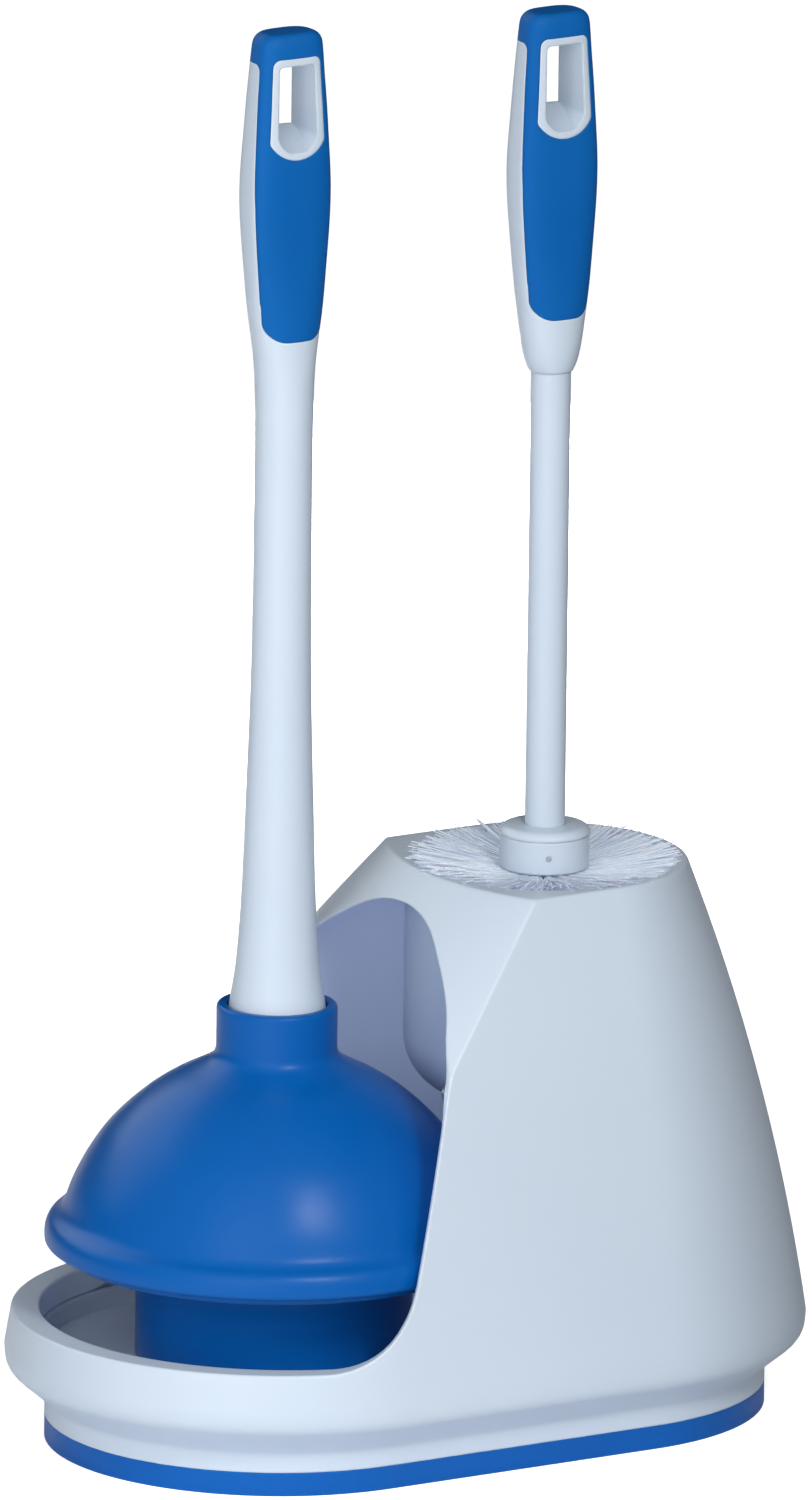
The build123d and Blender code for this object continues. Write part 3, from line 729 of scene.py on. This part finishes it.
# ---- plunger cup and throat ----
def make_cup():
    """Rubber bell with its collar, socket and bead: down the outside, then back up the inside."""
    top = CUP_HIGH.z
    rim = CUP_HIGH.y
    foot = CUP_LOW.z
    outline = [
        (16.65, top - 17, 0), (16.65, top, 0.6), (20.0, top, 1.7), (20.0, top - 17.4, 3.4),
        (26.5, top - 21.3, 4.0), (34.0, top - 24.9, 5.0), (42.0, top - 30.0, 5.0), (49.6, top - 36.4, 5.0),
        (56.6, top - 43.6, 5.0), (62.6, top - 52.6, 5.0), (67.2, top - 61.6, 4.5), (69.9, top - 69.6, 2.2),
        (71.6, top - 71.6, 1.0), (74.6, top - 73.4, 1.6), (rim, top - 76.6, 1.8), (rim, foot + 0.6, 1.5),
        (rim - 3.2, foot, 1.2), (68.2, foot, 1.0), (67.0, top - 72.5, 3.0), (61.6, top - 59.5, 5.0),
        (54.0, top - 47.0, 5.0), (43.6, top - 35.6, 5.0), (31.0, top - 27.6, 4.0), (20.0, top - 22, 3.0),
        (8.1, top - 22, 0), (8.1, top - 17, 0),
    ]
    rubber = materials["blue_rubber"]
    cup = lathe("plunger_bell", outline, PLUNGER_X, None, rubber, steps=6, smooth_angle=50.0)
    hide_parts("plunger_cup")
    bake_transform(cup)


def make_throat():
    """Tube under the bell that flares out to meet it."""
    top = FLANGE_HIGH.z
    foot = FLANGE_LOW.z
    outline = [
        (43.1, foot, 0.8), (45.7, foot, 1.0), (45.7, top - 10, 6.0), (54.0, top - 2.2, 4.0),
        (70.9, top - 2.2, 0.8), (70.9, top, 0.6), (43.1, top, 0.8),
    ]
    throat = lathe("plunger_throat", outline, PLUNGER_X, "cup", materials["blue_rubber"])
    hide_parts("plunger_flange")


make_cup()
make_throat()


# ---- brush hardware ----
def make_ferrule():
    """Round cap over the bristles, with a slightly wider lid."""
    top = FERRULE_HIGH.z
    foot = FERRULE_LOW.z
    lid = FERRULE_HIGH.y
    body = lid - 0.4
    hole = 6.7
    outline = [
        (hole, foot, 0), (body, foot, 0.5), (body, top - 3.6, 0.35), (body - 0.35, top - 3.3, 0.2),
        (lid - 0.1, top - 3.05, 0.3), (lid, top - 2.0, 0.8), (lid - 1.6, top - 0.35, 1.4),
        (lid - 4.2, top, 1.2), (hole + 1.2, top, 0.6), (hole, top, 0.3),
    ]
    cap = lathe("brush_cap", outline, BRUSH_X, "brush", materials["white_plastic"])
    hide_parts("brush_ferrule")


def make_pin():
    """Cross pin of the cap. Its rounded ends stand half a millimetre proud of the cap's side."""
    half = FERRULE_HIGH.y + 0.15
    outline = [
        (0.0, -half, 0), (PIN_RADIUS, -half, 0.25), (PIN_RADIUS, half, 0.25), (0.0, half, 0),
    ]
    pin = lathe("cross_pin", outline, 0.0, "brush", materials["steel"], segments=32)
    turn = Matrix.Rotation(PIN_TURN, 4, "Z") @ Matrix.Rotation(math.radians(-90), 4, "X")
    pin.data.transform(Matrix.Translation((BRUSH_X * MM, 0, PIN_HEIGHT * MM)) @ turn)
    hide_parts("brush_ferrule_pin")


def strand(bm, start, direction, length, droop, radius, sides=4, steps=4):
    """One tapered filament that bends a little on its way out."""
    side = direction.cross(Vector((0, 0, 1))).normalized()
    up = side.cross(direction).normalized()
    rings = []
    for step in range(steps + 1):
        t = step / steps
        centre = start + direction * (length * t) + droop * (t * t)
        size = radius * (1 - 0.45 * t)
        ring = []
        for corner in range(sides):
            turn = 2 * math.pi * (corner + 0.5) / sides
            offset = side * (math.cos(turn) * size) + up * (math.sin(turn) * size)
            ring.append(bm.verts.new(centre + offset))
        rings.append(ring)
    for lower, upper in zip(rings, rings[1:]):
        for corner in range(sides):
            after = (corner + 1) % sides
            bm.faces.new((upper[corner], upper[after], lower[after], lower[corner]))
    bm.faces.new(rings[0])
    bm.faces.new(list(reversed(rings[-1])))


def make_bristles():
    """Tufts of filaments in rows round the core.

    The top row is fuller and messier, and stands up to the deck."""
    rng = random.Random(11)
    rows = 7
    tufts = 22
    top_row = TUFT_HIGH.z - 4.4
    top_reach = 45.6
    pitch = 9.4
    core_radius = 8.1
    bm = bmesh.new()
    for row in range(rows):
        strands = 110 if row == 0 else 34
        sides, steps = (4, 4) if row == 0 else (3, 3)
        reach = top_reach if row == 0 else TUFT_HIGH.y
        for tuft in range(tufts):
            turn = 2 * math.pi * (tuft + 0.5 * (row % 2)) / tufts
            for _ in range(strands):
                spread = rng.uniform(-0.15, 0.15) + rng.gauss(0, 0.05)
                lift = rng.uniform(0.02, 0.17) if row == 0 else rng.gauss(0, 0.06)
                heading = turn + spread
                direction = Vector((math.cos(heading), math.sin(heading), lift)).normalized()
                root = Vector((BRUSH_X, 0, top_row - row * pitch + rng.uniform(-1.3, 1.3)))
                root += Vector((math.cos(turn), math.sin(turn), 0)) * core_radius
                length = reach - core_radius - 0.4 + rng.uniform(-4.0, 0.0)
                droop = Vector((rng.gauss(0, 1.6), rng.gauss(0, 1.6), rng.gauss(0.0, 1.1)))
                thickness = rng.uniform(0.24, 0.46)
                strand(bm, root, direction, length, droop, thickness, sides, steps)
    bmesh.ops.scale(bm, vec=(MM, MM, MM), verts=bm.verts)
    mesh = bpy.data.meshes.new("brush_bristles")
    bm.to_mesh(mesh)
    bm.free()
    piece = bpy.data.objects.new("brush_bristles", mesh)
    bpy.context.scene.collection.objects.link(piece)
    mesh.materials.append(materials["bristle"])
    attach(piece, "brush")
    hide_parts("brush_tufts")


make_ferrule()
make_pin()
make_bristles()


# ---- CAD nodes that keep their own mesh ----
NODE_MATERIALS = {
    "base_plate": "blue_plastic",
    "base_foot_pads": "dark_rubber",
    "drip_pan": "white_plastic",
    # the brush well is white plastic with a painted shade
    "brush_well": "white_plastic_painted_shade",
    "plunger_handle": "white_plastic",
    "plunger_grip_pad": "blue_grip",
    "plunger_hang_sleeve": "white_plastic",
    "plunger_spigot": "white_plastic",
    "brush_handle": "white_plastic",
    "brush_grip_pad": "blue_grip",
    "brush_hang_sleeve": "white_plastic",
    "brush_shaft": "white_plastic",
    "brush_ferrule_pin": "steel",
    "brush_core": "white_plastic",
    "caddy_shell": "white_plastic",
    "plunger_cup": "blue_rubber",
    "plunger_flange": "blue_rubber",
    "brush_ferrule": "white_plastic",
    "brush_tufts": "bristle",
}
for node, slot_name in NODE_MATERIALS.items():
    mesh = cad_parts[node].data
    mesh.materials.clear()
    mesh.materials.append(materials[slot_name])


# ---- floor, light and camera ----
FRONT = Vector((-0.55, -0.77, 0.26)).normalized()


def make_floor():
    """Large pale sweep. The camera sees it almost white, and the object sees it as a mid grey."""
    size = 30.0
    bm = bmesh.new()
    bmesh.ops.create_grid(bm, x_segments=2, y_segments=2, size=size)
    mesh = bpy.data.meshes.new("floor")
    bm.to_mesh(mesh)
    bm.free()
    floor = bpy.data.objects.new("floor", mesh)
    bpy.context.scene.collection.objects.link(floor)
    material, tree, shader = node_tree("floor")
    path = tree.nodes.new("ShaderNodeLightPath").outputs["Is Camera Ray"]
    # the light that comes back up from the floor fades towards the right-hand end of the set
    across = tree.nodes.new("ShaderNodeVectorMath")
    across.operation = "DOT_PRODUCT"
    across.inputs[1].default_value = (0.85, -0.52, 0.0)
    tree.links.new(tree.nodes.new("ShaderNodeNewGeometry").outputs["Position"], across.inputs[0])
    fade = ramp(tree, across.outputs["Value"], 0.09, 0.19, 0.0, 1.0)
    bounce = blend_colour(tree, fade, (0.93, 0.94, 0.97), (0.26, 0.27, 0.30))
    tone = blend_colour(tree, path, bounce, (0.80, 0.81, 0.82))
    tree.links.new(tone, shader.inputs["Base Color"])
    shader.inputs["Roughness"].default_value = 0.9
    shader.inputs["Specular IOR Level"].default_value = 0.0
    shader.inputs["Emission Color"].default_value = (1, 1, 1, 1)
    tree.links.new(ramp(tree, path, 0.0, 1.0, 0.0, 0.72), shader.inputs["Emission Strength"])
    mesh.materials.append(material)


def area_light(name, direction, distance, size, power, colour, glossy_only=False):
    """Soft box that looks at the middle of the set from a direction."""
    light = bpy.data.lights.new(name, "AREA")
    light.shape = "RECTANGLE"
    light.size, light.size_y = size
    light.energy = power
    light.color = colour
    lamp = bpy.data.objects.new(name, light)
    bpy.context.scene.collection.objects.link(lamp)
    towards = Vector(direction).normalized()
    lamp.location = Vector((0, 0, 0.18)) + towards * distance
    lamp.rotation_mode = "QUATERNION"
    lamp.rotation_quaternion = (-towards).to_track_quat("-Z", "Y")
    lamp.visible_diffuse = not glossy_only
    return lamp


def make_world():
    """White for the camera. For the object it is bright in front and dark behind, so limbs darken."""
    world = bpy.data.worlds.new("studio")
    bpy.context.scene.world = world
    world.use_nodes = True
    tree = world.node_tree
    background = tree.nodes.get("Background")
    background.inputs["Color"].default_value = (0.97, 0.985, 1.0, 1)
    coords = tree.nodes.new("ShaderNodeTexCoord").outputs["Generated"]
    facing = tree.nodes.new("ShaderNodeVectorMath")
    facing.operation = "DOT_PRODUCT"
    facing.inputs[1].default_value = FRONT
    tree.links.new(coords, facing.inputs[0])
    glow = ramp(tree, facing.outputs["Value"], -0.1, 1.0, 0.0, 1.12)
    path = tree.nodes.new("ShaderNodeLightPath")
    glossy = ramp(tree, path.outputs["Is Glossy Ray"], 0.0, 1.0, 1.0, 0.15)
    seen = tree.nodes.new("ShaderNodeMix")
    tree.links.new(path.outputs["Is Camera Ray"], seen.inputs["Factor"])
    tree.links.new(maths(tree, "MULTIPLY", glow, glossy), seen.inputs["A"])
    seen.inputs["B"].default_value = 1.05
    tree.links.new(seen.outputs["Result"], background.inputs["Strength"])


def make_light():
    """Key from above the near side, fill from the left, one lamp for the back and one for reflections."""
    make_world()
    area_light(
        "key", direction=(-0.10, -0.78, 0.60), distance=1.9, size=(0.26, 0.34), power=10.9,
        colour=(1.0, 0.99, 0.98))
    fill = area_light(
        "fill", direction=(-0.76, -0.60, 0.25), distance=0.85, size=(0.45, 0.6), power=2.6,
        colour=(0.98, 0.985, 1.0))
    fill.visible_glossy = False
    behind = area_light(
        "behind", direction=(0.521, 0.853, 0.02), distance=1.4, size=(0.3, 0.34), power=12.0,
        colour=(0.97, 0.985, 1.0))
    behind.visible_glossy = False
    area_light(
        "rear", direction=(-0.30, 0.80, 0.50), distance=1.6, size=(1.6, 1.0), power=8.0,
        colour=(0.9, 0.95, 1.0), glossy_only=True)


def make_camera():
    """Long lens at the catalogue view's angle, a little to the left of the near side."""
    heading = math.radians(31.43)
    pitch = math.radians(14.4)
    distance = 12.5
    view_height = 0.4947
    aim_height = 0.2276
    aim_shift = -0.0024
    roll = math.radians(0.73)
    right = Vector((math.cos(heading), -math.sin(heading), 0))
    back = Vector((
        -math.sin(heading) * math.cos(pitch), -math.cos(heading) * math.cos(pitch), math.sin(pitch),
    ))
    camera = bpy.data.cameras.new("camera")
    camera.sensor_width = 36.0
    camera.lens = camera.sensor_width * distance / view_height
    camera.clip_end = 100.0
    holder = bpy.data.objects.new("camera", camera)
    bpy.context.scene.collection.objects.link(holder)
    holder.location = Vector((0, 0, aim_height)) + right * aim_shift + back * distance
    holder.rotation_mode = "QUATERNION"
    holder.rotation_quaternion = (-back).to_track_quat("-Z", "Y") @ Quaternion((0, 0, 1), roll)
    bpy.context.scene.camera = holder


make_floor()
make_light()
make_camera()
bpy.context.scene.view_settings.view_transform = "Standard"
